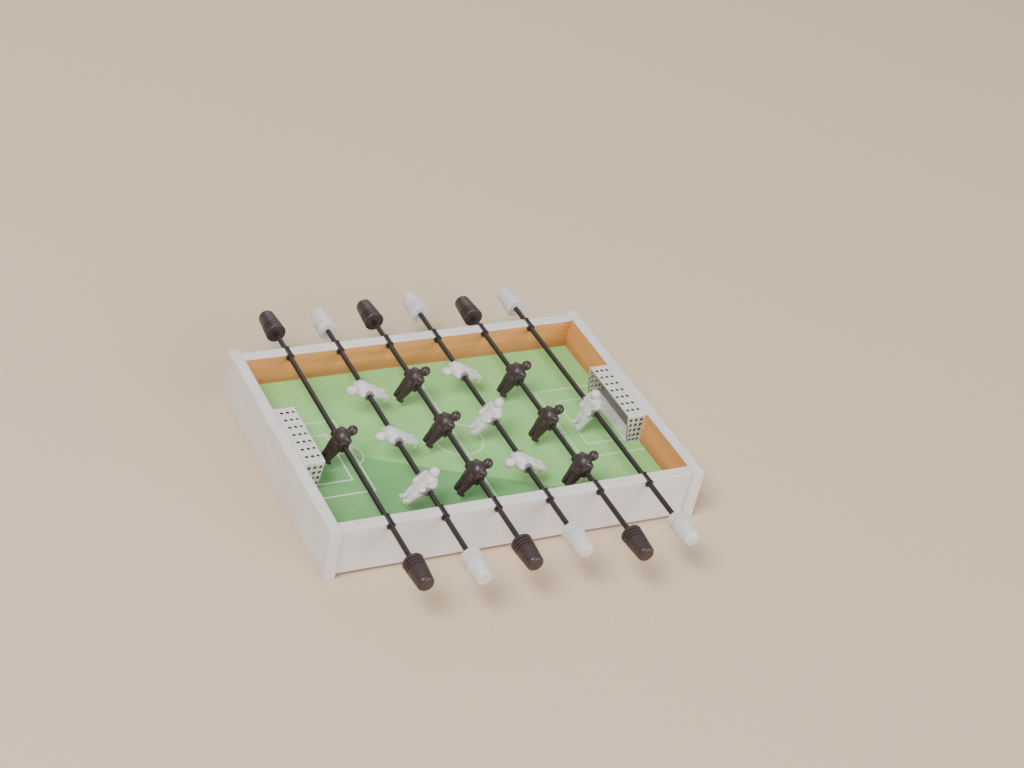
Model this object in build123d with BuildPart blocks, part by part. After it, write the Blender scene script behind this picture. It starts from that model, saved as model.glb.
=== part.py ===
"""Table-top foosball game: a shallow wooden tray with six sliding, spinning player rods.

Frame: X along the length of the pitch, Y across it (the front wall is at -Y), Z up.
The origin is under the middle of the tray, on the surface that it stands on.
Rods are numbered 1 to 6 from the left end (-X). All sizes are in millimetres.
"""

import os

from build123d import *

# ---- tray ----
table_length = 300.0  # over the two end boards
end_board_depth = 215.0  # the end boards stand 2.5 mm proud of each long wall
end_board_height = 44.0
board_thickness = 9.0
wall_span = 210.0  # over the two long walls
wall_bottom = 3.0  # the tray stands on its end boards, and the walls stay clear
wall_top = 42.0
edge_round = 1.6
top_edge_round = 0.8
inner_half_length = table_length / 2 - board_thickness
inner_half_width = wall_span / 2 - board_thickness
wall_centre_y = wall_span / 2 - board_thickness / 2
end_centre_x = table_length / 2 - board_thickness / 2

# ---- pitch panel, held in grooves, and the bearer under its middle ----
pitch_top = 16.5
pitch_thickness = 3.0
pitch_bottom = pitch_top - pitch_thickness
groove_depth = 3.0
panel_end_gap = 0.2
bearer_width = 14.0

# ---- corner dowels ----
dowel_radius = 2.5
dowel_in_end_board = 6.0
dowel_in_wall = 16.0
dowel_heights = (9.0, 29.0)
fit_gap = 0.02

# ---- rods ----
rod_spacing = 41.5
rod_radius = 2.0
rod_axis_height = 39.5
rod_free_length = 269.0  # between the two grips
rod_in_grip = 18.0
rod_end_chamfer = 0.4
rod_numbers = (1, 2, 3, 4, 5, 6)
# how far each rod rests towards the back (+Y)
rod_rest = {1: -8.0, 2: -12.0, 3: -7.5, 4: -4.0, 5: -17.5, 6: -11.0}

# ---- bushes that snap into keyhole notches in the long walls ----
bush_radius = 2.7
bush_bore_radius = 2.05
bush_flange_radius = 3.3
bush_flange_thickness = 0.7
bush_side_gap = 0.1
bush_slit = 1.2
notch_radius = 2.75
notch_mouth = 4.6  # narrower than the bush, which is squeezed to pass it

# ---- grips ----
grip_length = 25.0
grip_rod_side_radius = 8.0
grip_far_radius = 6.4
grip_bore_depth = rod_in_grip
grip_rounding = 1.0
grip_groove_width = 0.8
grip_groove_depth = 0.45
grip_grooves_at = (3.6, 6.2, 8.8)  # from the rod side

# ---- players ----
player_spacing = 57.0
swing_radius = 20.3
# lean of each player, back to front: its body's angle from upright towards +X, in degrees
player_leans = {
    1: (33.0,),
    2: (-68.0, -68.0, 48.0),
    3: (36.0, 36.0, 36.0),
    4: (-68.0, 42.0, -68.0),
    5: (31.0, 31.0, 31.0),
    6: (24.0,),
}
white_rods = (2, 4, 6)  # their players face -X, and the dark ones face +X
place_names = ("back", "middle", "front")

# ---- goals ----
goal_depth = 16.0  # at the top; the mouth slopes back towards the end board below it
goal_foot_depth = 11.5
goal_half_width = 33.0
goal_top = 43.2
goal_wall = 1.6
goal_hole_radius = 1.45
goal_top_rows = 7
goal_top_row_spacing = 8.6
goal_columns = 3
goal_column_spacing = 4.5
goal_side_rows = 5
goal_side_row_spacing = 4.8
goal_floor_thickness = 1.0
goal_screw_y = 18.0
goal_screw_z = 29.0
screw_shank_radius = 1.1
screw_shank_length = 7.0
screw_head_radius = 2.2
screw_head_height = 1.3
screw_slot_width = 0.6

os.makedirs("parts", exist_ok=True)


def write(built, name):
    """Labels a finished piece and writes its STEP file."""
    built.part.label = name
    export_step(built.part, f"parts/{name}.step")


def rod_x(number):
    """Where a rod crosses the length of the table."""
    return (number - 3.5) * rod_spacing


def across(x, y, z):
    """A plane at a point whose normal runs along +Y, across the table."""
    return Plane(origin=(x, y, z), x_dir=(1, 0, 0), z_dir=(0, 1, 0))


def along(x, y, z, side=1):
    """A plane at a point whose normal runs along the table, towards side (+1 or -1)."""
    return Plane(origin=(x, y, z), x_dir=(0, 1, 0), z_dir=(side, 0, 0))


# ---- tray ----


def make_end_board(name, side):
    """A full-height end board with a groove for the pitch, dowel holes and goal screw holes."""
    inner_face = side * inner_half_length
    with BuildPart() as board:
        with Locations((side * end_centre_x, 0, end_board_height / 2)):
            Box(board_thickness, end_board_depth, end_board_height)
        fillet(board.edges().filter_by(Axis.Y), radius=edge_round)
        fillet(board.edges().group_by(Axis.Y)[0], radius=top_edge_round)
        fillet(board.edges().group_by(Axis.Y)[-1], radius=top_edge_round)
        with Locations((inner_face + side * groove_depth / 2, 0, pitch_top - pitch_thickness / 2)):
            Box(
                groove_depth,
                2 * (inner_half_width + groove_depth),
                pitch_thickness,
                mode=Mode.SUBTRACT,
            )
        for y in (-wall_centre_y, wall_centre_y):
            for z in dowel_heights:
                with BuildSketch(along(inner_face, y, z, side)):
                    Circle(dowel_radius + fit_gap)
                extrude(amount=dowel_in_end_board + fit_gap, mode=Mode.SUBTRACT)
        for y in (-goal_screw_y, goal_screw_y):
            with BuildSketch(along(inner_face, y, goal_screw_z, side)):
                Circle(screw_shank_radius + fit_gap)
            extrude(amount=screw_shank_length - goal_wall + fit_gap, mode=Mode.SUBTRACT)
    write(board, name)


def make_long_wall(name, side):
    """A long wall between the end boards, with six keyhole notches open at its top edge."""
    centre_y = side * wall_centre_y
    with BuildPart() as wall:
        with Locations((0, centre_y, (wall_bottom + wall_top) / 2)):
            Box(2 * inner_half_length, board_thickness, wall_top - wall_bottom)
        fillet(wall.edges().filter_by(Axis.X).group_by(Axis.Z)[-1], radius=top_edge_round)
        with Locations(
            (0, side * (inner_half_width + groove_depth / 2), pitch_top - pitch_thickness / 2)
        ):
            Box(2 * inner_half_length, groove_depth, pitch_thickness, mode=Mode.SUBTRACT)
        for number in rod_numbers:
            seat = across(rod_x(number), centre_y, rod_axis_height)
            with BuildSketch(seat):
                Circle(notch_radius)
            extrude(amount=board_thickness, both=True, mode=Mode.SUBTRACT)
            with Locations((rod_x(number), centre_y, rod_axis_height)):
                Box(
                    notch_mouth,
                    2 * board_thickness,
                    2 * (wall_top - rod_axis_height),
                    align=(Align.CENTER, Align.CENTER, Align.MIN),
                    mode=Mode.SUBTRACT,
                )
        for end in (-1, 1):
            for z in dowel_heights:
                with BuildSketch(along(end * inner_half_length, centre_y, z, -end)):
                    Circle(dowel_radius + fit_gap)
                extrude(amount=dowel_in_wall + fit_gap, mode=Mode.SUBTRACT)
    write(wall, name)


def make_pitch_panel():
    """The green playing panel, whose edges lie in the grooves of all four boards."""
    edge = groove_depth - panel_end_gap
    with BuildPart() as panel:
        with Locations((0, 0, pitch_top - pitch_thickness / 2)):
            Box(2 * (inner_half_length + edge), 2 * (inner_half_width + edge), pitch_thickness)
    write(panel, "pitch_panel")


def make_pitch_bearer():
    """The crosspiece that carries the thin panel at mid-length and meets the table top."""
    with BuildPart() as bearer:
        with Locations((0, 0, pitch_bottom / 2)):
            Box(bearer_width, 2 * inner_half_width, pitch_bottom)
        fillet(bearer.edges().filter_by(Axis.Y).group_by(Axis.Z)[0], radius=top_edge_round)
    write(bearer, "pitch_bearer")


def make_corner_dowels():
    """Eight glued beech dowels, two at each corner, hidden in the boards."""
    length = dowel_in_end_board + dowel_in_wall
    with BuildPart() as dowels:
        for end in (-1, 1):
            start_x = end * (inner_half_length + dowel_in_end_board)
            for y in (-wall_centre_y, wall_centre_y):
                for z in dowel_heights:
                    with BuildSketch(along(start_x, y, z, -end)):
                        Circle(dowel_radius)
                    extrude(amount=length)
        chamfer(dowels.edges().filter_by(GeomType.CIRCLE), length=0.5)
    write(dowels, "corner_dowels")


# ---- goals ----


def make_goal_hood(name, side):
    """A moulded goal: perforated top and sides, and a plain back screwed to the end board."""
    back_x = side * inner_half_length
    mouth_x = back_x - side * goal_depth
    foot_x = back_x - side * goal_foot_depth
    inner_back_x = back_x - side * goal_wall
    inner_top = goal_top - goal_wall
    middle_z = (pitch_top + inner_top) / 2
    hole_depth = 2 * goal_wall
    with BuildPart() as hood:
        with BuildSketch(Plane.XZ):
            with BuildLine():
                Polyline(
                    (back_x, pitch_top),
                    (back_x, goal_top),
                    (mouth_x, goal_top),
                    (foot_x, pitch_top),
                    close=True,
                )
            make_face()
        extrude(amount=goal_half_width, both=True)
        top_edges = hood.edges().filter_by(Axis.X).group_by(Axis.Z)[-1]
        fillet(top_edges, radius=goal_wall)
        with BuildSketch(Plane.XZ):
            with Locations((inner_back_x - side * goal_depth, pitch_top)):
                Rectangle(2 * goal_depth, 2 * (inner_top - pitch_top))
        extrude(amount=goal_half_width - goal_wall, both=True, mode=Mode.SUBTRACT)
        hole_x = (inner_back_x + mouth_x) / 2
        with BuildSketch(Plane(origin=(hole_x, 0, goal_top), z_dir=(0, 0, -1))):
            with GridLocations(
                goal_column_spacing, goal_top_row_spacing, goal_columns, goal_top_rows
            ):
                Circle(goal_hole_radius)
        extrude(amount=hole_depth, mode=Mode.SUBTRACT)
        for row in range(goal_side_rows):
            z = middle_z + (row - (goal_side_rows - 1) / 2) * goal_side_row_spacing
            fraction = (z - pitch_top) / (goal_top - pitch_top)
            row_depth = goal_foot_depth + (goal_depth - goal_foot_depth) * fraction - goal_wall
            for column in range(goal_columns):
                x = inner_back_x - side * row_depth * (column + 0.5) / goal_columns
                with BuildSketch(across(x, -goal_half_width - goal_wall, z)):
                    Circle(goal_hole_radius)
                extrude(amount=2 * (goal_half_width + goal_wall), mode=Mode.SUBTRACT)
        for y in (-goal_screw_y, goal_screw_y):
            with BuildSketch(along(back_x, y, goal_screw_z, -side)):
                Circle(screw_shank_radius + fit_gap)
            extrude(amount=hole_depth, mode=Mode.SUBTRACT)
    write(hood, name)


def make_goal_floor(name, side):
    """The white plate on the pitch inside a goal, where the ball comes to rest."""
    length = goal_foot_depth - goal_wall
    centre_x = side * (inner_half_length - goal_wall - length / 2)
    with BuildPart() as floor:
        with Locations((centre_x, 0, pitch_top + goal_floor_thickness / 2)):
            Box(length, 2 * (goal_half_width - goal_wall), goal_floor_thickness)
        mouth_edge = floor.edges().filter_by(Axis.Y).group_by(Axis.Z)[-1].sort_by(Axis.X)
        chamfer(mouth_edge[0 if side > 0 else -1], length=0.6)
    write(floor, name)


def make_goal_screws(name, side):
    """Two slotted pan-head screws that hold a goal's back to its end board."""
    face_x = side * (inner_half_length - goal_wall)
    with BuildPart() as screws:
        for y in (-goal_screw_y, goal_screw_y):
            with BuildSketch(along(face_x, y, goal_screw_z, side)):
                Circle(screw_shank_radius)
            extrude(amount=screw_shank_length)
            with BuildSketch(along(face_x, y, goal_screw_z, -side)):
                Circle(screw_head_radius)
            extrude(amount=screw_head_height)
        rims = screws.faces().filter_by(Axis.X).sort_by(Axis.X)
        rims = rims[:2] if side > 0 else rims[-2:]
        fillet(rims.edges(), radius=0.4)
        slot_x = face_x - side * screw_head_height
        for y in (-goal_screw_y, goal_screw_y):
            with Locations((slot_x, y, goal_screw_z)):
                Box(screw_slot_width * 2, 5 * screw_shank_radius, screw_slot_width, mode=Mode.SUBTRACT)
    write(screws, name)


# ---- rods ----


def make_rod(number):
    """A round steel rod that reaches into both of its grips."""
    length = rod_free_length + 2 * rod_in_grip
    start_y = rod_rest[number] - length / 2
    with BuildPart() as rod:
        with BuildSketch(across(rod_x(number), start_y, rod_axis_height)):
            Circle(rod_radius)
        extrude(amount=length)
        chamfer(rod.edges().filter_by(GeomType.CIRCLE), length=rod_end_chamfer)
    write(rod, f"rod_{number}")


def make_bush(number, place, side):
    """A split nylon bush: it snaps into a wall's notch and turns there with the rod."""
    barrel = board_thickness + 2 * bush_side_gap
    total = barrel + 2 * bush_flange_thickness
    start_y = side * wall_centre_y - total / 2
    x = rod_x(number)
    with BuildPart() as bush:
        with BuildSketch(across(x, start_y, rod_axis_height)):
            Circle(bush_radius)
        extrude(amount=total)
        for y in (start_y, start_y + total - bush_flange_thickness):
            with BuildSketch(across(x, y, rod_axis_height)):
                Circle(bush_flange_radius)
            extrude(amount=bush_flange_thickness)
        with BuildSketch(across(x, start_y, rod_axis_height)):
            Circle(bush_bore_radius)
        extrude(amount=total, mode=Mode.SUBTRACT)
        with Locations((x, side * wall_centre_y, rod_axis_height)):
            Box(
                bush_slit,
                2 * total,
                2 * bush_flange_radius,
                align=(Align.CENTER, Align.CENTER, Align.MIN),
                mode=Mode.SUBTRACT,
            )
    write(bush, f"rod_{number}_{place}_bush")


def make_grip(number, place, side):
    """A turned grip, widest beside the rod, with three fine grooves and a blind bore."""
    x = rod_x(number)
    base_y = rod_rest[number] + side * rod_free_length / 2
    taper = (grip_rod_side_radius - grip_far_radius) / grip_length
    profile_plane = Plane(
        origin=(x, base_y, rod_axis_height), x_dir=(0, 0, 1), z_dir=(side, 0, 0)
    )
    with BuildPart() as grip:
        with BuildSketch(profile_plane):
            with BuildLine():
                Polyline(
                    (0, 0),
                    (grip_rod_side_radius, 0),
                    (grip_far_radius, -grip_length),
                    (0, -grip_length),
                    close=True,
                )
            make_face()
        revolve(axis=Axis((x, base_y, rod_axis_height), (0, 1, 0)))
        fillet(grip.edges().filter_by(GeomType.CIRCLE), radius=grip_rounding)
        for distance in grip_grooves_at:
            outer = grip_rod_side_radius - taper * distance
            groove_y = base_y + side * (distance - grip_groove_width / 2)
            groove_start = min(groove_y, groove_y + side * grip_groove_width)
            with BuildSketch(across(x, groove_start, rod_axis_height)):
                Circle(outer + 1)
                Circle(outer - grip_groove_depth, mode=Mode.SUBTRACT)
            extrude(amount=grip_groove_width, mode=Mode.SUBTRACT)
        bore_start = min(base_y, base_y + side * (grip_bore_depth + fit_gap))
        with BuildSketch(across(x, bore_start, rod_axis_height)):
            Circle(rod_radius + fit_gap)
        extrude(amount=grip_bore_depth + fit_gap, mode=Mode.SUBTRACT)
    write(grip, f"rod_{number}_{place}_grip")


# ---- players ----

head_radius = 4.0
head_forward = 3.8
head_height = 11.2
neck_radius = 2.4
torso_radius = 6.4
torso_half_height = 8.0
shoulder_offset = 6.9
shoulder_height = 4.4
hand_forward = 1.4
hand_height = -4.6
arm_radius = 2.1
leg_offset = 2.7
hip_height = -3.5
ankle_height = -17.6
hip_radius = 3.7
ankle_radius = 2.3
toe_reach = 5.2
heel_reach = 2.3
foot_half_width = 2.2
foot_top = -16.4
foot_rounding = 2.0
hub_radius = 3.9
hub_half_length = 9.2

# One player in its own frame: the rod's axis is Y through the origin, and it faces +X.
with BuildPart() as player:
    with BuildSketch(Plane.XZ):
        Ellipse(torso_radius, torso_half_height)
        with Locations((-2 * torso_radius, 0)):
            Rectangle(4 * torso_radius, 4 * torso_half_height, mode=Mode.SUBTRACT)
    revolve(axis=Axis.Z)
    head = Vector(head_forward, 0, head_height)
    with BuildSketch(Plane(origin=(0, 0, 0), z_dir=head)):
        Circle(neck_radius)
    extrude(amount=head.length)
    with Locations(head):
        Sphere(head_radius)
    for hand in (-1, 1):
        shoulder = Vector(0, hand * shoulder_offset, shoulder_height)
        wrist = Vector(hand_forward, hand * shoulder_offset, hand_height)
        with BuildSketch(Plane(origin=shoulder, z_dir=wrist - shoulder)):
            Circle(arm_radius)
        extrude(amount=(wrist - shoulder).length)
        with Locations(shoulder, wrist):
            Sphere(arm_radius)
        with Locations((0, hand * leg_offset, (hip_height + ankle_height) / 2)):
            Cone(ankle_radius, hip_radius, hip_height - ankle_height)
        with BuildSketch(Plane.XY.offset(-swing_radius)):
            with Locations(((toe_reach - heel_reach) / 2, hand * leg_offset)):
                RectangleRounded(toe_reach + heel_reach, 2 * foot_half_width, foot_rounding)
        extrude(amount=swing_radius + foot_top)
    with BuildSketch(across(0, -hub_half_length, 0)):
        Circle(hub_radius)
    extrude(amount=2 * hub_half_length)
    # the soles follow the circle that the feet sweep above the pitch
    with BuildSketch(across(0, -hub_half_length, 0)):
        Circle(swing_radius)
    extrude(amount=2 * hub_half_length, mode=Mode.INTERSECT)
    with BuildSketch(across(0, -hub_half_length, 0)):
        Circle(rod_radius + fit_gap)
    extrude(amount=2 * hub_half_length, mode=Mode.SUBTRACT)


def make_player(name, number, y, lean):
    """A copy of the player on a rod, leaning as it is set."""
    facing = 180 if number in white_rods else 0
    with BuildPart() as placed:
        with Locations(Location((rod_x(number), y, rod_axis_height), (0, lean, facing))):
            add(player.part)
    write(placed, name)


make_end_board("left_end_board", -1)
make_end_board("right_end_board", 1)
make_long_wall("front_wall", -1)
make_long_wall("back_wall", 1)
make_pitch_panel()
make_pitch_bearer()
make_corner_dowels()
for goal_place, goal_side in (("left", -1), ("right", 1)):
    make_goal_hood(f"{goal_place}_goal_hood", goal_side)
    make_goal_floor(f"{goal_place}_goal_floor", goal_side)
    make_goal_screws(f"{goal_place}_goal_screws", goal_side)
for rod_number in rod_numbers:
    make_rod(rod_number)
    for rod_place, rod_side in (("front", -1), ("back", 1)):
        make_bush(rod_number, rod_place, rod_side)
        make_grip(rod_number, rod_place, rod_side)
    leans = player_leans[rod_number]
    if len(leans) == 1:
        make_player(f"rod_{rod_number}_goalkeeper", rod_number, rod_rest[rod_number], leans[0])
        continue
    for index, place_name in enumerate(place_names):
        player_y = rod_rest[rod_number] + (1 - index) * player_spacing
        make_player(f"rod_{rod_number}_player_{place_name}", rod_number, player_y, leans[index])
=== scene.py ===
"""Dresses a table-top foosball game: boards, pitch, goals, rods, grips and players.

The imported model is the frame. The boards, panels, goals, rods, bushes and screws are shown as
they are and get their finishes here. The grips and players are modelled here in finer detail, and
each one stands for its plain counterpart. The players' collars are made here too. Lengths named
_mm are in millimetres.
"""

import math

import bpy
from mathutils import Matrix, Vector


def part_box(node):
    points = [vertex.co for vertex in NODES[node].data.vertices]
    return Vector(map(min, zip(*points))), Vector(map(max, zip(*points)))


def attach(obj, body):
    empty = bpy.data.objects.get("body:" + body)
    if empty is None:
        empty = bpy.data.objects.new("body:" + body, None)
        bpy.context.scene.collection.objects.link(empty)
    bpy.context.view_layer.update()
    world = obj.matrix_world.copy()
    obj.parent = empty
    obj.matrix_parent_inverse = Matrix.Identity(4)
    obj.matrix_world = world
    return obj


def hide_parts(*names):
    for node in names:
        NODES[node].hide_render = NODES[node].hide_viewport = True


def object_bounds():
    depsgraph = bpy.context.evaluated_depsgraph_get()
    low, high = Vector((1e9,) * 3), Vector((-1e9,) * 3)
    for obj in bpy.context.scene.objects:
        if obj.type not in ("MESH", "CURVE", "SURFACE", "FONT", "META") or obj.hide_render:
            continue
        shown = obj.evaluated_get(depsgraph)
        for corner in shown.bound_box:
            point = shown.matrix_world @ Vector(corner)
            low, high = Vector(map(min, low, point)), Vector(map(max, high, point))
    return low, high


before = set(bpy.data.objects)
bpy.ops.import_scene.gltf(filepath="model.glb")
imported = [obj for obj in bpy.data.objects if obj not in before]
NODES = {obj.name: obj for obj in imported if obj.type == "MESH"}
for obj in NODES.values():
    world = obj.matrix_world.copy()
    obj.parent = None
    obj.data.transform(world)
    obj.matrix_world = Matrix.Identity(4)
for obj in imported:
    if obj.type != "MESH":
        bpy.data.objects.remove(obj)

bl_info = {
    "name": "Table-top Foosball Game",
    "version": (1, 0, 0),
    "blender": (4, 5, 0),
    "location": "View3D > Sidebar > Foosball",
    "description": "Models and finishes the pieces of a table-top foosball game",
    "category": "Object",
}

MM = 0.001
ROD_NUMBERS = range(1, 7)
WHITE_RODS = (2, 4, 6)
LONG_WALLS = ("front_wall", "back_wall")
END_BOARDS = ("left_end_board", "right_end_board")
ROD_ENDS = ("front", "back")
CAD_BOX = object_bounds()

# tints of the parts that a user wouldn't recolour
# painted shade: dark brown that darkens the bare wood towards the pitch
PAINTED_SHADE_WOOD = "#6B4428"
HARDBOARD = "#8A6A4A"
BEECH = "#C9A273"
# painted shade: grey on the inner back of each goal
GOAL_BACK_PAINTED_SHADE = "#77706D"
# painted shade: dark brown-grey on the walls of the goals' holes
HOLE_PAINTED_SHADE = "#4B4341"
BUSH_NYLON = "#3E3436"
ZINC_TONES = ("#A9ACAF", "#C4C6C8")
PAPER_TONES = ("#D9C1A3", "#DBC4A7")
STUDIO_AIR = "#F4F3F1"


# ---- sizes and colours that a user would change ----


class FoosballSizes(bpy.types.PropertyGroup):
    """Sizes of the details that are modelled here."""

    grip_rounding: bpy.props.FloatProperty(
        name="Grip rounding",
        description="Radius of the soft edge round a grip's far end",
        default=2.6 * MM,
        min=0.2 * MM,
        unit="LENGTH",
    )
    grip_groove: bpy.props.FloatProperty(
        name="Grip groove",
        description="Width of each fine groove round a grip",
        default=1.1 * MM,
        unit="LENGTH",
    )
    player_detail: bpy.props.FloatProperty(
        name="Player detail",
        description="Size of the finest form on a player",
        default=0.34 * MM,
        min=0.2 * MM,
        unit="LENGTH",
    )
    line_width: bpy.props.FloatProperty(
        name="Line width",
        description="Width of the lines that are printed on the pitch",
        default=1.3 * MM,
        unit="LENGTH",
    )
    centre_circle: bpy.props.FloatProperty(
        name="Centre circle",
        description="Radius of the printed centre circle",
        default=19.0 * MM,
        unit="LENGTH",
    )


class FoosballColours(bpy.types.PropertyGroup):
    """Colours of the finishes, as sRGB hex values."""

    paint: bpy.props.StringProperty(
        name="Board paint", description="Warm white paint on the boards", default="#E3DFDB"
    )
    board: bpy.props.StringProperty(
        name="Bare board", description="Unpainted wood inside the tray", default="#E2975A"
    )
    grass: bpy.props.StringProperty(
        name="Light green", description="Lighter green of the pitch print", default="#96D37E"
    )
    shade: bpy.props.StringProperty(
        name="Dark green", description="Darker green of the pitch print", default="#71AF6A"
    )
    line: bpy.props.StringProperty(
        name="Lines", description="Pale lines of the pitch print", default="#D6E6CA"
    )
    white: bpy.props.StringProperty(
        name="White plastic", description="White players, grips and goals", default="#DEDAD6"
    )
    dark: bpy.props.StringProperty(
        name="Dark plastic", description="Dark players and grips", default="#3B2C2C"
    )
    enamel: bpy.props.StringProperty(
        name="Rod enamel", description="Brown-black enamel on the rods", default="#201819"
    )
    # painted shade: the white players' collars are grey to stand for the shade beside the rod
    collar: bpy.props.StringProperty(
        name="Collars", description="Grey collars of the white players", default="#8A7C80"
    )


# ---- materials ----


def linear(colour):
    """An sRGB hex colour as linear red, green, blue and alpha."""
    channels = [int(colour[i : i + 2], 16) / 255 for i in (1, 3, 5)]
    return (*[c / 12.92 if c <= 0.04045 else ((c + 0.055) / 1.055) ** 2.4 for c in channels], 1.0)


def node(tree, kind, inputs=None, **settings):
    """Adds a shader node with its settings, and sets or links its inputs."""
    made = tree.nodes.new(kind)
    for name, value in settings.items():
        setattr(made, name, value)
    for socket, value in (inputs or {}).items():
        if isinstance(value, bpy.types.NodeSocket):
            tree.links.new(value, made.inputs[socket])
        else:
            made.inputs[socket].default_value = value
    return made


def new_material(name, roughness, ior=1.5, metallic=0.0):
    """A material with only its shader and output. Returns the material, its tree and its shader."""
    made = bpy.data.materials.new(name)
    made.use_nodes = True
    tree = made.node_tree
    tree.nodes.clear()
    shader = node(
        tree,
        "ShaderNodeBsdfPrincipled",
        {"Roughness": roughness, "IOR": ior, "Metallic": metallic},
    )
    node(tree, "ShaderNodeOutputMaterial", {"Surface": shader.outputs["BSDF"]})
    return made, tree, shader


def tint(colour, *factors):
    """A linear colour with its channels multiplied by one factor, or by one factor each."""
    if len(factors) == 1:
        factors *= 3
    return (*[min(1.0, c * k) for c, k in zip(colour, factors)], 1.0)


def place(tree):
    """The point on the piece, in metres in the game's own frame."""
    return node(tree, "ShaderNodeTexCoord").outputs["Object"]


def coordinates(tree):
    """X, Y and Z of the point on the piece, as three sockets."""
    return tuple(node(tree, "ShaderNodeSeparateXYZ", {0: place(tree)}).outputs)


def pattern(tree, size_mm, detail=2.0, roughness=0.5):
    """Noise whose lumps measure size_mm along X, Y and Z."""
    scale = [1 / (s * MM) for s in size_mm]
    stretched = node(tree, "ShaderNodeMapping", {"Vector": place(tree), "Scale": scale})
    noise = node(
        tree,
        "ShaderNodeTexNoise",
        {"Vector": stretched.outputs[0], "Scale": 1.0, "Detail": detail, "Roughness": roughness},
    )
    return noise.outputs["Fac"]


def ramp(tree, value, low, high, from_value=0.0, to_value=1.0):
    """value, taken from the range low to high into from_value to to_value, and held at its ends."""
    return node(
        tree,
        "ShaderNodeMapRange",
        {0: value, 1: low, 2: high, 3: from_value, 4: to_value},
        interpolation_type="SMOOTHSTEP",
    ).outputs[0]


def blend_colours(tree, share, first, second):
    """first where share is 0 and second where it is 1. Each is a colour or a socket."""
    mix = node(tree, "ShaderNodeMix", {0: share, 6: first, 7: second}, data_type="RGBA")
    return mix.outputs[2]


def calculate(tree, operation, *values):
    """One step of arithmetic on sockets and numbers."""
    return node(tree, "ShaderNodeMath", dict(enumerate(values)), operation=operation).outputs[0]


def all_of(tree, *masks):
    """The product of some masks: 1 only where each of them is 1."""
    product = masks[0]
    for mask in masks[1:]:
        product = calculate(tree, "MULTIPLY", product, mask)
    return product


def bump(tree, shader, height, depth_mm):
    """Raises the surface by depth_mm where height is 1."""
    made = node(
        tree, "ShaderNodeBump", {"Height": height, "Distance": depth_mm * MM, "Strength": 1.0}
    )
    tree.links.new(made.outputs[0], shader.inputs["Normal"])


def edge_distance(tree, low, high):
    """How far a point on a box's surface is from the box's nearest edge, in metres."""
    depths = []
    for axis, coordinate in enumerate(coordinates(tree)):
        offset = calculate(tree, "SUBTRACT", coordinate, (low[axis] + high[axis]) / 2)
        depth = calculate(
            tree, "SUBTRACT", (high[axis] - low[axis]) / 2, calculate(tree, "ABSOLUTE", offset)
        )
        depths.append(depth)
    a, b, c = depths
    lesser = calculate(tree, "MINIMUM", a, b)
    greater = calculate(tree, "MAXIMUM", a, b)
    return calculate(tree, "MAXIMUM", lesser, calculate(tree, "MINIMUM", greater, c))


def wood_colour(tree, colour, grain_mm):
    """Board figure: long soft streaks of one colour, with finer darker fibres in them."""
    base = linear(colour)
    streaks = pattern(tree, [g * 6 for g in grain_mm], detail=3.0, roughness=0.6)
    fibres = pattern(tree, grain_mm, detail=4.0, roughness=0.65)
    figure = blend_colours(tree, ramp(tree, streaks, 0.36, 0.66), tint(base, 1.16), base)
    fibre_colour = tint(base, 0.72, 0.64, 0.55)
    return blend_colours(tree, ramp(tree, fibres, 0.5, 0.85, 0.0, 0.75), figure, fibre_colour)


def painted_board(name, board, colours):
    """Pine board, sprayed warm white outside and left bare on the side towards the pitch.

    The paint lies in a thin even film with a faint orange peel. It has rubbed through in a few
    specks at the arrises. The bare side shows its grain, and painted shade darkens it towards
    the pitch.
    """
    low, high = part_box(board)
    along = 0 if board in LONG_WALLS else 1
    through = 1 - along
    inner = min(low[through], high[through], key=abs)
    grain_mm = [0.9, 0.9, 0.9]
    grain_mm[along] = 22.0
    made, tree, shader = new_material(name, roughness=0.5)
    point = coordinates(tree)
    wobble = calculate(tree, "MULTIPLY", pattern(tree, (3, 3, 3)), 0.7 * MM)
    depth = calculate(tree, "ABSOLUTE", calculate(tree, "SUBTRACT", point[through], inner))
    height = calculate(tree, "ADD", point[2], wobble)
    on_inside = ramp(tree, depth, 0.35 * MM, 0.15 * MM)
    under_paint_line = ramp(tree, height, high.z - 0.75 * MM, high.z - 0.95 * MM)
    bare = all_of(tree, on_inside, under_paint_line)
    if board in END_BOARDS:
        between_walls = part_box("back_wall")[0].y
        from_middle = calculate(tree, "ABSOLUTE", point[1])
        bare = all_of(tree, bare, ramp(tree, from_middle, between_walls + 0.2 * MM, between_walls))
    worn = all_of(
        tree,
        ramp(tree, edge_distance(tree, low, high), 0.9 * MM, 0.3 * MM),
        ramp(tree, pattern(tree, (5, 5, 5), detail=5.0, roughness=0.7), 0.62, 0.72),
    )
    pitch_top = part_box("pitch_panel")[1].z
    # painted shade: the bare wood darkens towards the pitch, where the corner would be in shade
    painted_shade = ramp(tree, height, pitch_top + 12.5 * MM, pitch_top + 0.5 * MM, 0.0, 0.42)
    clean = wood_colour(tree, colours.board, grain_mm)
    wood = blend_colours(tree, painted_shade, clean, linear(PAINTED_SHADE_WOOD))
    film = linear(colours.paint)
    thinness = ramp(tree, pattern(tree, (30, 30, 30)), 0.35, 0.7)
    paint = blend_colours(tree, thinness, film, tint(film, 0.93))
    bare_or_worn = calculate(tree, "MAXIMUM", bare, calculate(tree, "MULTIPLY", worn, 0.6))
    colour = blend_colours(tree, bare_or_worn, paint, wood)
    tree.links.new(colour, shader.inputs["Base Color"])
    tree.links.new(ramp(tree, bare, 0.0, 1.0, 0.42, 0.62), shader.inputs["Roughness"])
    peel = pattern(tree, (1.1, 1.1, 1.1), detail=1.0)
    fibre = pattern(tree, grain_mm, detail=3.0)
    relief = node(tree, "ShaderNodeMix", {0: bare, 2: peel, 3: fibre}).outputs[0]
    bump(tree, shader, relief, 0.05)
    return made


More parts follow.
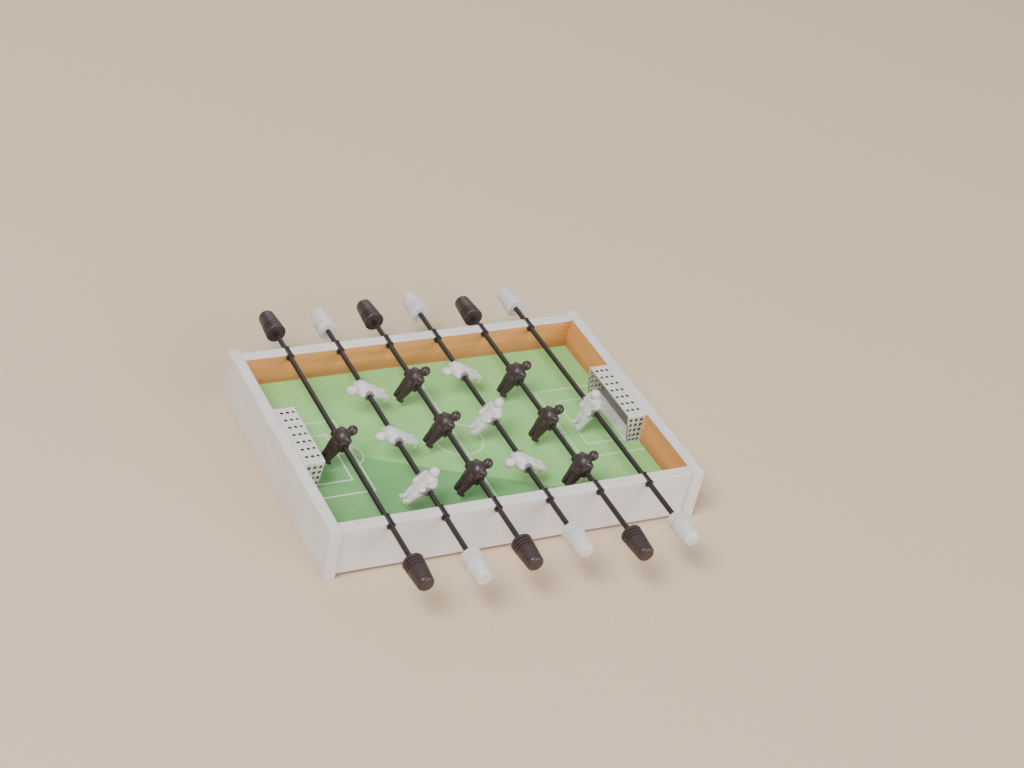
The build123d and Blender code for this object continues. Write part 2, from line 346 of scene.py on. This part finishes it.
def pitch_print(colours, sizes):
    """Hardboard with a screen-printed pitch: satin inks over a smooth face, and a raw underside."""
    low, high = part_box("pitch_panel")
    goal_half_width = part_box("left_goal_hood")[1][1]
    made, tree, shader = new_material("pitch_print", roughness=0.45)
    x, y, z = coordinates(tree)
    from_middle = calculate(tree, "ABSOLUTE", x)
    from_centre_line = calculate(tree, "ABSOLUTE", y)
    end = high[0]

    def box_line(reach, half_width):
        """Distance from a box that is drawn from each end of the pitch."""
        sides = calculate(tree, "SUBTRACT", from_centre_line, half_width)
        front = calculate(tree, "SUBTRACT", end - reach, from_middle)
        return calculate(tree, "ABSOLUTE", calculate(tree, "MAXIMUM", sides, front))

    def ring_line(centre_x, radius):
        """Distance from a circle round a point on the pitch's long middle line."""
        dx = calculate(tree, "SUBTRACT", from_middle, centre_x)
        square = calculate(
            tree, "ADD", calculate(tree, "MULTIPLY", dx, dx), calculate(tree, "MULTIPLY", y, y)
        )
        distance = calculate(tree, "SQRT", square)
        return calculate(tree, "ABSOLUTE", calculate(tree, "SUBTRACT", distance, radius))

    penalty_line, goal_area_line = 86 * MM, 98 * MM
    penalty_arc = ring_line(penalty_line + 5.8 * MM, 12.5 * MM)
    past_box = ramp(tree, from_middle, penalty_line, penalty_line + 0.1 * MM)
    lines = [
        from_middle,
        ring_line(0.0, sizes.centre_circle),
        box_line(end - penalty_line, goal_half_width + 9 * MM),
        box_line(end - goal_area_line, goal_half_width - 6 * MM),
        calculate(tree, "ADD", penalty_arc, past_box),
    ]
    nearest = lines[0]
    for line in lines[1:]:
        nearest = calculate(tree, "MINIMUM", nearest, line)
    half = sizes.line_width / 2
    inked = ramp(tree, nearest, half + 0.08 * MM, half - 0.08 * MM)

    # one broad darker sweep crosses the pitch, from the left goal to the front wall
    sweep_middle, sweep_slope, sweep_bow = -44.4 * MM, -0.486, 0.124
    steepness = calculate(tree, "MULTIPLY_ADD", x, sweep_bow, sweep_slope)
    sweep = calculate(tree, "MULTIPLY_ADD", x, steepness, sweep_middle)
    shaded = ramp(tree, calculate(tree, "SUBTRACT", y, sweep), 0.4 * MM, -0.4 * MM)
    grass = linear(colours.grass)
    green = blend_colours(tree, shaded, grass, linear(colours.shade))
    mottle = pattern(tree, (14, 14, 14), detail=3.0)
    green = blend_colours(tree, ramp(tree, mottle, 0.4, 0.8, 0.0, 0.35), green, tint(grass, 0.9))
    ink = blend_colours(tree, inked, green, linear(colours.line))
    on_top = ramp(tree, z, high[2] - 0.2 * MM, high[2] - 0.1 * MM)
    raw = wood_colour(tree, HARDBOARD, (0.8, 0.8, 0.8))
    tree.links.new(blend_colours(tree, on_top, raw, ink), shader.inputs["Base Color"])
    tree.links.new(ramp(tree, inked, 0.0, 1.0, 0.48, 0.36), shader.inputs["Roughness"])
    fibre = pattern(tree, (0.5, 0.5, 0.5), detail=2.0)
    raised = calculate(tree, "ADD", calculate(tree, "MULTIPLY", fibre, 0.4), inked)
    bump(tree, shader, raised, 0.03)
    return made


def bare_wood(name, colour, grain_mm):
    """Planed, unfinished wood: matt, with its fibres standing a little proud."""
    made, tree, shader = new_material(name, roughness=0.7)
    tree.links.new(wood_colour(tree, colour, grain_mm), shader.inputs["Base Color"])
    bump(tree, shader, pattern(tree, grain_mm, detail=3.0), 0.06)
    return made


def moulded_plastic(name, colour, roughness, subsurface=0.0):
    """Injection-moulded ABS: an even satin skin with a faint flow mottle and fine handling marks."""
    made, tree, shader = new_material(name, roughness=roughness, ior=1.53)
    shader.inputs["Subsurface Weight"].default_value = subsurface
    shader.inputs["Subsurface Scale"].default_value = 0.6 * MM
    base = linear(colour)
    flow = ramp(tree, pattern(tree, (7, 7, 7), detail=3.0), 0.35, 0.75)
    mottled = blend_colours(tree, flow, base, tint(base, 0.86))
    tree.links.new(mottled, shader.inputs["Base Color"])
    smears = pattern(tree, (4, 4, 4), detail=5.0, roughness=0.7)
    tree.links.new(
        ramp(tree, smears, 0.3, 0.7, roughness - 0.06, roughness + 0.1), shader.inputs["Roughness"]
    )
    bump(tree, shader, pattern(tree, (0.35, 0.35, 0.35), detail=1.0), 0.012)
    return made


def goal_moulding(name, colours, hood):
    """White plastic for a perforated goal, with painted shade inside its back and its holes."""
    made = moulded_plastic(name, colours.white, 0.42, subsurface=0.05)
    tree = made.node_tree
    shader = next(n for n in tree.nodes if n.type == "BSDF_PRINCIPLED")
    low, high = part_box(hood)
    wall, skin = 1.6 * MM, 0.12 * MM
    x, y, z = coordinates(tree)
    across = calculate(tree, "ABSOLUTE", y)
    from_game_middle = calculate(tree, "ABSOLUTE", x)
    from_own_middle = calculate(
        tree, "ABSOLUTE", calculate(tree, "SUBTRACT", x, (low.x + high.x) / 2)
    )

    def below(value, limit):
        """1 under a limit, and 0 over it."""
        return calculate(tree, "LESS_THAN", value, limit)

    def within(value, start, end):
        """1 between two limits, and 0 outside them."""
        return all_of(tree, calculate(tree, "GREATER_THAN", value, start), below(value, end))

    in_top = all_of(
        tree, within(z, high.z - wall + skin, high.z - skin), below(across, high.y - 2 * wall)
    )
    in_sides = all_of(
        tree,
        within(across, high.y - wall + skin, high.y - skin),
        within(z, low.z + wall, high.z - 2 * wall),
    )
    clear_of_ends = below(from_own_middle, (high.x - low.x) / 2 - wall * 1.05)
    bored = all_of(tree, calculate(tree, "MAXIMUM", in_top, in_sides), clear_of_ends)
    inner_back = max(abs(low.x), abs(high.x)) - wall
    on_back = all_of(
        tree,
        within(from_game_middle, inner_back - skin, inner_back + skin),
        below(across, high.y - wall - skin),
        below(z, high.z - wall - skin),
    )
    plain = shader.inputs["Base Color"].links[0].from_socket
    # painted shade: the goal's inner back is greyed where it would lie in shadow
    painted_back_shade = blend_colours(tree, on_back, plain, linear(GOAL_BACK_PAINTED_SHADE))
    # painted shade: the walls of the holes are darkened as if in shadow
    goal_colour_with_painted_shade = blend_colours(tree, bored, painted_back_shade, linear(HOLE_PAINTED_SHADE))
    tree.links.new(goal_colour_with_painted_shade, shader.inputs["Base Color"])
    return made


def rod_enamel(colours):
    """Satin stove enamel on drawn steel, rubbed paler and duller where the bushes run."""
    made, tree, shader = new_material("rod_enamel", roughness=0.3)
    shader.inputs["Coat Weight"].default_value = 0.15
    shader.inputs["Coat Roughness"].default_value = 0.25
    bush_low, bush_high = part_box("rod_1_back_bush")
    across = calculate(tree, "ABSOLUTE", coordinates(tree)[1])
    from_bush = calculate(
        tree, "ABSOLUTE", calculate(tree, "SUBTRACT", across, (bush_low.y + bush_high.y) / 2)
    )
    travelled = ramp(tree, from_bush, 30 * MM, 8 * MM)
    scuffs = ramp(tree, pattern(tree, (0.5, 9, 0.5), detail=3.0), 0.56, 0.74)
    rubbed = all_of(tree, travelled, scuffs)
    base = linear(colours.enamel)
    dull = (*[c * 1.9 + 0.01 for c in base[:3]], 1.0)
    tree.links.new(blend_colours(tree, rubbed, base, dull), shader.inputs["Base Color"])
    tree.links.new(ramp(tree, rubbed, 0.0, 1.0, 0.42, 0.55), shader.inputs["Roughness"])
    bump(tree, shader, pattern(tree, (0.7, 5, 0.7), detail=1.0), 0.01)
    return made


def zinc_plate():
    """Zinc-plated steel screws: a soft bluish-grey metal with fine turning marks."""
    made, tree, shader = new_material("zinc_plate", roughness=0.35, metallic=1.0)
    tone = ramp(tree, pattern(tree, (1.2, 1.2, 1.2), detail=3.0), 0.3, 0.7)
    plated = blend_colours(tree, tone, *[linear(colour) for colour in ZINC_TONES])
    tree.links.new(plated, shader.inputs["Base Color"])
    bump(tree, shader, pattern(tree, (1.5, 0.2, 0.2), detail=1.0), 0.01)
    return made


def dress(node_name, finish):
    """Gives a node of the frame its finish."""
    materials = NODES[node_name].data.materials
    materials.clear()
    materials.append(finish)


# ---- modelling helpers ----


def deselect_all():
    """Leaves object mode with nothing selected."""
    if bpy.context.object and bpy.context.object.mode != "OBJECT":
        bpy.ops.object.mode_set(mode="OBJECT")
    bpy.ops.object.select_all(action="DESELECT")


def make_active(piece):
    """Selects one piece alone and makes it active."""
    deselect_all()
    piece.select_set(True)
    bpy.context.view_layer.objects.active = piece


def join(pieces):
    """Joins pieces into the first one."""
    deselect_all()
    for piece in pieces:
        piece.select_set(True)
    bpy.context.view_layer.objects.active = pieces[0]
    bpy.ops.object.join()
    return pieces[0]


def settle(piece):
    """Puts a piece's place into its mesh, and leaves its object at the origin."""
    make_active(piece)
    bpy.ops.object.transform_apply(location=True, rotation=True, scale=True)


def apply_modifiers(piece):
    """Applies all of a piece's modifiers."""
    make_active(piece)
    for modifier in list(piece.modifiers):
        bpy.ops.object.modifier_apply(modifier=modifier.name)


def put_on(piece, name, finish, body, record_slot, *stands_for):
    """Names and finishes a piece, and hands it to the frame."""
    piece.name = name
    piece.data.name = name
    piece.data.materials.clear()
    piece.data.materials.append(finish)
    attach(piece, body)
    if stands_for:
        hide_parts(*stands_for)


def copy_of(piece, transform):
    """A copy of a piece with its own mesh, moved by a matrix."""
    made = piece.copy()
    made.data = piece.data.copy()
    bpy.context.collection.objects.link(made)
    made.data.transform(transform)
    made.data.update()
    return made


def lathe(profile, steps):
    """Turns a profile of (distance along Y, radius) points round the Y axis."""
    deselect_all()
    bpy.ops.mesh.primitive_plane_add(size=MM, location=(0, 0, 0))
    piece = bpy.context.object
    bpy.ops.object.mode_set(mode="EDIT")
    bpy.ops.mesh.merge(type="CENTER")
    start_y, start_radius = profile[0]
    bpy.ops.transform.translate(value=(start_radius, start_y, 0))
    last_y, last_radius = start_y, start_radius
    for y, radius in profile[1:]:
        bpy.ops.mesh.extrude_region_move(
            TRANSFORM_OT_translate={"value": (radius - last_radius, y - last_y, 0)}
        )
        last_y, last_radius = y, radius
    bpy.ops.mesh.select_all(action="SELECT")
    bpy.ops.mesh.spin(
        steps=steps, angle=2 * math.pi, center=(0, 0, 0), axis=(0, 1, 0), use_auto_merge=True
    )
    bpy.ops.mesh.select_all(action="SELECT")
    bpy.ops.mesh.remove_doubles(threshold=0.005 * MM)
    bpy.ops.mesh.normals_make_consistent(inside=False)
    bpy.ops.object.mode_set(mode="OBJECT")
    bpy.ops.object.shade_smooth_by_angle(angle=math.radians(35))
    return piece


# ---- the players' form ----


def bulge(centre_mm, radii_mm):
    """An ellipsoid, as one lump of clay."""
    bpy.ops.mesh.primitive_uv_sphere_add(
        segments=32,
        ring_count=16,
        radius=1.0,
        location=[c * MM for c in centre_mm],
        scale=[r * MM for r in radii_mm],
    )
    return bpy.context.object


def limb(start_mm, end_mm, start_radius_mm, end_radius_mm):
    """A tapered length of clay with flat ends."""
    start, end = Vector(start_mm) * MM, Vector(end_mm) * MM
    bpy.ops.mesh.primitive_cone_add(
        vertices=32,
        radius1=start_radius_mm * MM,
        radius2=end_radius_mm * MM,
        depth=(end - start).length,
        location=(start + end) / 2,
        rotation=(end - start).to_track_quat("Z", "Y").to_euler(),
    )
    return bpy.context.object


def player_head():
    """A smooth head on a thick bowed neck, with small ears and a hint of a nose."""
    lumps = [
        bulge((3.7, 0, 10.9), (3.9, 3.75, 4.1)),
        bulge((7.4, 0, 10.2), (0.55, 0.6, 0.8)),
        limb((0.6, 0, 4.6), (3.2, 0, 9.2), 3.3, 2.5),
    ]
    lumps += [bulge((3.6, side * 3.6, 10.5), (0.9, 0.5, 1.1)) for side in (-1, 1)]
    return lumps


def player_trunk():
    """One smooth mass from the bowed shoulders to the hips, in a loose shirt."""
    return [
        bulge((-0.8, 0, 3.0), (5.5, 7.2, 6.8)),
        bulge((0.5, 0, 4.4), (4.7, 7.9, 4.4)),
        limb((-0.7, 0, 3.0), (-0.4, 0, -4.6), 5.7, 4.9),
        bulge((-0.4, 0, -2.6), (5.1, 6.6, 5.2)),
        bulge((-0.4, 0, -5.2), (4.8, 6.2, 3.8)),
    ]


def player_arm(side):
    """A short sleeved arm, moulded to the side of the body."""
    return [
        bulge((0.9, side * 6.5, 4.9), (2.9, 2.6, 2.8)),
        limb((0.9, side * 6.7, 4.6), (1.9, side * 7.2, -0.6), 2.5, 2.0),
        bulge((2.0, side * 7.1, -0.9), (2.0, 1.9, 1.9)),
        limb((2.0, side * 7.1, -0.9), (3.6, side * 5.9, -4.4), 1.9, 1.5),
        bulge((3.6, side * 5.8, -4.6), (1.6, 1.5, 1.7)),
    ]


def player_leg(side):
    """A leg in a wide trouser that tapers to the ankle, with a small boot."""
    y = side * 2.8
    toe_y = side * 3.1
    return [
        limb((-0.3, side * 2.7, -4.2), (0.3, y, -10.8), 4.2, 3.3),
        bulge((0.4, y, -10.8), (3.4, 3.1, 2.8)),
        limb((0.3, y, -10.6), (0.1, side * 3.0, -17.0), 3.2, 2.35),
        bulge((0.0, side * 3.0, -16.6), (2.55, 2.4, 0.9)),
        limb((0.0, side * 2.9, -16.0), (0.0, side * 2.9, -18.4), 1.75, 1.75),
        bulge((1.9, toe_y, -18.2), (3.6, 1.8, 1.65)),
        bulge((-0.4, side * 2.9, -18.1), (1.9, 1.7, 1.75)),
        limb((0.4, side * 2.9, -19.75), (0.4, side * 2.9, -19.2), 2.0, 2.0),
        limb((2.6, toe_y, -19.75), (2.6, toe_y, -19.2), 1.9, 2.0),
    ]


def player_hub(rod_radius):
    """The boss across the back that the rod runs through."""
    reach = 8.6
    return [limb((0, -reach, 0), (0, reach, 0), rod_radius + 1.5, rod_radius + 1.5)]


def shape_player(sizes, rod_radius_mm):
    """One player in its own frame: the rod is the Y axis, and it faces +X."""
    deselect_all()
    lumps = player_head() + player_trunk() + player_hub(rod_radius_mm)
    for side in (-1, 1):
        lumps += player_arm(side) + player_leg(side)
    player = join(lumps)
    settle(player)
    remesh = player.modifiers.new("Clay", "REMESH")
    remesh.mode = "VOXEL"
    remesh.voxel_size = sizes.player_detail
    smooth = player.modifiers.new("Thumb", "SMOOTH")
    smooth.factor = 0.5
    smooth.iterations = 12
    apply_modifiers(player)
    bpy.ops.object.shade_smooth()
    return player


def shape_collars(rod_radius_mm):
    """The two push-on collars that keep a player in its place on the rod."""
    inner = (rod_radius_mm + 0.02) * MM
    outer = (rod_radius_mm + 1.9) * MM
    edge = 0.4 * MM
    start, end = 6.4 * MM, 9.2 * MM
    profile = [
        (start, inner),
        (start, outer - edge),
        (start + edge, outer),
        (end - edge, outer),
        (end, outer - edge),
        (end, inner),
        (start, inner),
    ]
    collar = lathe(profile, steps=48)
    other = copy_of(collar, Matrix.Rotation(math.pi, 4, "Z"))
    return join([collar, other])


# ---- operators: one for each piece or group of like pieces ----


class FOOSBALL_OT_boards(bpy.types.Operator):
    """Paint the boards and finish the hidden wood"""

    bl_idname = "foosball.boards"
    bl_label = "Boards"

    def execute(self, context):
        colours = context.scene.foosball_colours
        for board in (*LONG_WALLS, *END_BOARDS):
            dress(board, painted_board("paint_on_" + board, board, colours))
        dress("pitch_bearer", bare_wood("planed_pine", colours.board, (0.9, 22.0, 0.9)))
        dress("corner_dowels", bare_wood("turned_beech", BEECH, (14.0, 0.6, 0.6)))
        return {"FINISHED"}


class FOOSBALL_OT_pitch(bpy.types.Operator):
    """Print the pitch on its panel"""

    bl_idname = "foosball.pitch"
    bl_label = "Pitch"

    def execute(self, context):
        scene = context.scene
        dress("pitch_panel", pitch_print(scene.foosball_colours, scene.foosball_sizes))
        return {"FINISHED"}


class FOOSBALL_OT_goals(bpy.types.Operator):
    """Finish the goals, their floors and their screws"""

    bl_idname = "foosball.goals"
    bl_label = "Goals"

    def execute(self, context):
        colours = context.scene.foosball_colours
        white = moulded_plastic("goal_floor_polystyrene", colours.white, 0.42, subsurface=0.05)
        zinc = zinc_plate()
        for end in ("left", "right"):
            hood = f"{end}_goal_hood"
            dress(hood, goal_moulding(f"{end}_goal_polystyrene", colours, hood))
            dress(f"{end}_goal_floor", white)
            dress(f"{end}_goal_screws", zinc)
        return {"FINISHED"}


class FOOSBALL_OT_rods(bpy.types.Operator):
    """Enamel the rods and finish their bushes"""

    bl_idname = "foosball.rods"
    bl_label = "Rods"

    def execute(self, context):
        colours = context.scene.foosball_colours
        enamel = rod_enamel(colours)
        nylon = moulded_plastic("bush_nylon", BUSH_NYLON, 0.6)
        for number in ROD_NUMBERS:
            dress(f"rod_{number}", enamel)
            for side in ROD_ENDS:
                dress(f"rod_{number}_{side}_bush", nylon)
        return {"FINISHED"}


class FOOSBALL_OT_grips(bpy.types.Operator):
    """Turn one grip, and put a copy on both ends of each rod"""

    bl_idname = "foosball.grips"
    bl_label = "Grips"

    def execute(self, context):
        scene = context.scene
        low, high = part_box("rod_1_back_grip")
        length = high.y - low.y
        rod_low, rod_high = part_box("rod_1")
        rod_radius = (rod_high.z - rod_low.z) / 2
        near_side = (high.z - low.z) / 2
        grip = lathe(self.profile(length, rod_radius, near_side, scene.foosball_sizes), steps=96)
        finishes = {
            True: moulded_plastic("grip_plastic_white", scene.foosball_colours.white, 0.36, 0.05),
            False: moulded_plastic("grip_plastic_dark", scene.foosball_colours.dark, 0.38),
        }
        for number in ROD_NUMBERS:
            rod_low, rod_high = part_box(f"rod_{number}")
            white = number in WHITE_RODS
            for side in ROD_ENDS:
                cad_node = f"rod_{number}_{side}_grip"
                grip_low, grip_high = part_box(cad_node)
                base_y = grip_low.y if side == "back" else grip_high.y
                centre = (rod_low + rod_high) / 2
                turn = Matrix.Rotation(0.0 if side == "back" else math.pi, 4, "Z")
                move = Matrix.Translation((centre.x, base_y, centre.z)) @ turn
                made = copy_of(grip, move)
                put_on(
                    made,
                    cad_node + "_moulding",
                    finishes[white],
                    f"rod_assembly_{number}",
                    "grip_white" if white else "grip_dark",
                    cad_node,
                )
        bpy.data.objects.remove(grip)
        return {"FINISHED"}

    def profile(self, length, rod_radius, near_side, sizes):
        """Half of the grip's section, from the blind end of its bore round to its far end."""
        bore_depth = 18 * MM
        bore = rod_radius + 0.02 * MM
        far_side = near_side * 0.8
        taper = (near_side - far_side) / length
        rim = 1.0 * MM
        groove_places = (3.6 * MM, 6.2 * MM, 8.8 * MM)
        groove_depth = 0.8 * MM
        rounding = sizes.grip_rounding
        points = [(bore_depth, 0.0), (bore_depth, bore), (0.0, bore)]
        for step in range(5):
            turn = math.radians(90 * step / 4)
            points.append((rim - rim * math.cos(turn), near_side - rim + rim * math.sin(turn)))
        half = sizes.grip_groove / 2
        for centre in groove_places:
            radius = near_side - taper * centre
            floor = radius - groove_depth
            points += [
                (centre - half, radius),
                (centre - half * 0.5, floor + 0.05 * MM),
                (centre, floor),
                (centre + half * 0.5, floor + 0.05 * MM),
                (centre + half, radius),
            ]
        for step in range(7):
            turn = math.radians(90 * step / 6)
            points.append(
                (
                    length - rounding + rounding * math.sin(turn),
                    far_side - rounding + rounding * math.cos(turn),
                )
            )
        points.append((length, 0.0))
        return points


class FOOSBALL_OT_players(bpy.types.Operator):
    """Shape one player, and set a copy at each player's place and lean"""

    bl_idname = "foosball.players"
    bl_label = "Players"

    # lean from upright towards +X in degrees, from the back of each rod to the front
    leans = {
        1: (33.0,),
        2: (-68.0, -68.0, 48.0),
        3: (36.0, 36.0, 36.0),
        4: (-68.0, 42.0, -68.0),
        5: (31.0, 31.0, 31.0),
        6: (24.0,),
    }

    def execute(self, context):
        scene = context.scene
        colours = scene.foosball_colours
        rod_low, rod_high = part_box("rod_1")
        rod_radius_mm = (rod_high.z - rod_low.z) / 2 / MM
        player = shape_player(scene.foosball_sizes, rod_radius_mm)
        collars = shape_collars(rod_radius_mm)
        finishes = {
            True: moulded_plastic("player_plastic_white", colours.white, 0.4, 0.05),
            False: moulded_plastic("player_plastic_dark", colours.dark, 0.4),
        }
        collar_finishes = {
            # painted shade: the white players get grey collars where the body's side would be in shade
            True: moulded_plastic("collar_painted_shade_grey", colours.collar, 0.5),
            False: moulded_plastic("collar_nylon_dark", colours.dark, 0.5),
        }
        for number in ROD_NUMBERS:
            white = number in WHITE_RODS
            record_slot = "player_white" if white else "player_dark"
            leans = self.leans[number]
            names = [f"rod_{number}_player_{place}" for place in ("back", "middle", "front")]
            if len(leans) == 1:
                names = [f"rod_{number}_goalkeeper"]
            body = f"rod_assembly_{number}"
            for cad_node, lean in zip(names, leans):
                move = self.pose(number, cad_node, lean, white)
                put_on(
                    copy_of(player, move),
                    cad_node + "_figure",
                    finishes[white],
                    body,
                    record_slot,
                    cad_node,
                )
                put_on(
                    copy_of(collars, move),
                    cad_node + "_collars",
                    collar_finishes[white],
                    body,
                    record_slot,
                )
        bpy.data.objects.remove(player)
        bpy.data.objects.remove(collars)
        return {"FINISHED"}

    def pose(self, number, cad_node, lean, white):
        """Where a player stands on its rod, and how it leans. The white players face -X."""
        rod_low, rod_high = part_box(f"rod_{number}")
        low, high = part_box(cad_node)
        centre = (rod_low + rod_high) / 2
        facing = Matrix.Rotation(math.pi if white else 0.0, 4, "Z")
        leaning = Matrix.Rotation(math.radians(lean), 4, "Y")
        return Matrix.Translation((centre.x, (low.y + high.y) / 2, centre.z)) @ leaning @ facing


class FOOSBALL_OT_stage(bpy.types.Operator):
    """Set the floor, the lights and the camera"""

    bl_idname = "foosball.stage"
    bl_label = "Stage"

    def execute(self, context):
        self.floor()
        self.lights()
        self.camera(context.scene)
        return {"FINISHED"}

    def floor(self):
        """A wide pale floor under the tray."""
        deselect_all()
        bpy.ops.mesh.primitive_plane_add(size=16.0, location=(0, 0, CAD_BOX[0].z))
        floor = bpy.context.object
        floor.name = "studio_floor"
        made, tree, shader = new_material("studio_paper", roughness=0.8)
        fleck = ramp(tree, pattern(tree, (3, 3, 3)), 0.3, 0.7)
        paper = blend_colours(tree, fleck, *[linear(colour) for colour in PAPER_TONES])
        tree.links.new(paper, shader.inputs["Base Color"])
        floor.data.materials.append(made)

    def lights(self):
        """A large soft key from the front left, a wide fill, a weak back light and a pale surround."""
        world = bpy.data.worlds.new("studio_air")
        bpy.context.scene.world = world
        world.use_nodes = True
        air = world.node_tree.nodes["Background"]
        air.inputs["Color"].default_value = linear(STUDIO_AIR)
        air.inputs["Strength"].default_value = 0.45
        for name, location, size, power in (
            ("key", (-2.25, -1.05, 3.45), 1.8, 180.0),
            ("fill", (2.1, -3.9, 1.8), 3.6, 180.0),
            ("back", (0.6, 3.9, 2.7), 3.0, 45.0),
        ):
            bpy.ops.object.light_add(type="AREA", location=location)
            light = bpy.context.object
            light.name = "studio_" + name
            light.data.size = size
            light.data.energy = power
            light.rotation_euler = (-Vector(location)).to_track_quat("-Z", "Y").to_euler()

    def camera(self, scene):
        """A long lens from the front left, looking down, turned a little on its own axis."""
        azimuth, elevation, roll = (math.radians(a) for a in (31.19, 35.03, 11.69))
        forward = Vector(
            (
                math.sin(azimuth) * math.cos(elevation),
                math.cos(azimuth) * math.cos(elevation),
                -math.sin(elevation),
            )
        )
        bpy.ops.object.camera_add(location=(-0.6120, -0.9930, 0.8905))
        camera = bpy.context.object
        camera.name = "studio_camera"
        camera.data.lens = 67.7
        camera.data.shift_x = 0.0517
        camera.data.shift_y = -0.0069
        upright = forward.to_track_quat("-Z", "Y").to_matrix().to_4x4()
        camera.rotation_euler = (upright @ Matrix.Rotation(roll, 4, "Z")).to_euler()
        scene.camera = camera


class FOOSBALL_PT_panel(bpy.types.Panel):
    """Lists the game's pieces, sizes and colours"""

    bl_label = "Table-top Foosball"
    bl_space_type = "VIEW_3D"
    bl_region_type = "UI"
    bl_category = "Foosball"

    def draw(self, context):
        for settings in (context.scene.foosball_sizes, context.scene.foosball_colours):
            column = self.layout.column()
            for name in settings.__annotations__:
                column.prop(settings, name)
        for operator in OPERATORS:
            self.layout.operator(operator.bl_idname)


OPERATORS = (
    FOOSBALL_OT_boards,
    FOOSBALL_OT_pitch,
    FOOSBALL_OT_goals,
    FOOSBALL_OT_rods,
    FOOSBALL_OT_grips,
    FOOSBALL_OT_players,
    FOOSBALL_OT_stage,
)
CLASSES = (FoosballSizes, FoosballColours, *OPERATORS, FOOSBALL_PT_panel)


def register():
    for made in CLASSES:
        bpy.utils.register_class(made)
    bpy.types.Scene.foosball_sizes = bpy.props.PointerProperty(type=FoosballSizes)
    bpy.types.Scene.foosball_colours = bpy.props.PointerProperty(type=FoosballColours)


def unregister():
    del bpy.types.Scene.foosball_colours
    del bpy.types.Scene.foosball_sizes
    for made in reversed(CLASSES):
        bpy.utils.unregister_class(made)


def main():
    """Makes every piece, then the stage."""
    register()
    bpy.ops.foosball.boards()
    bpy.ops.foosball.pitch()
    bpy.ops.foosball.goals()
    bpy.ops.foosball.rods()
    bpy.ops.foosball.grips()
    bpy.ops.foosball.players()
    bpy.ops.foosball.stage()


if __name__ == "__main__":
    main()
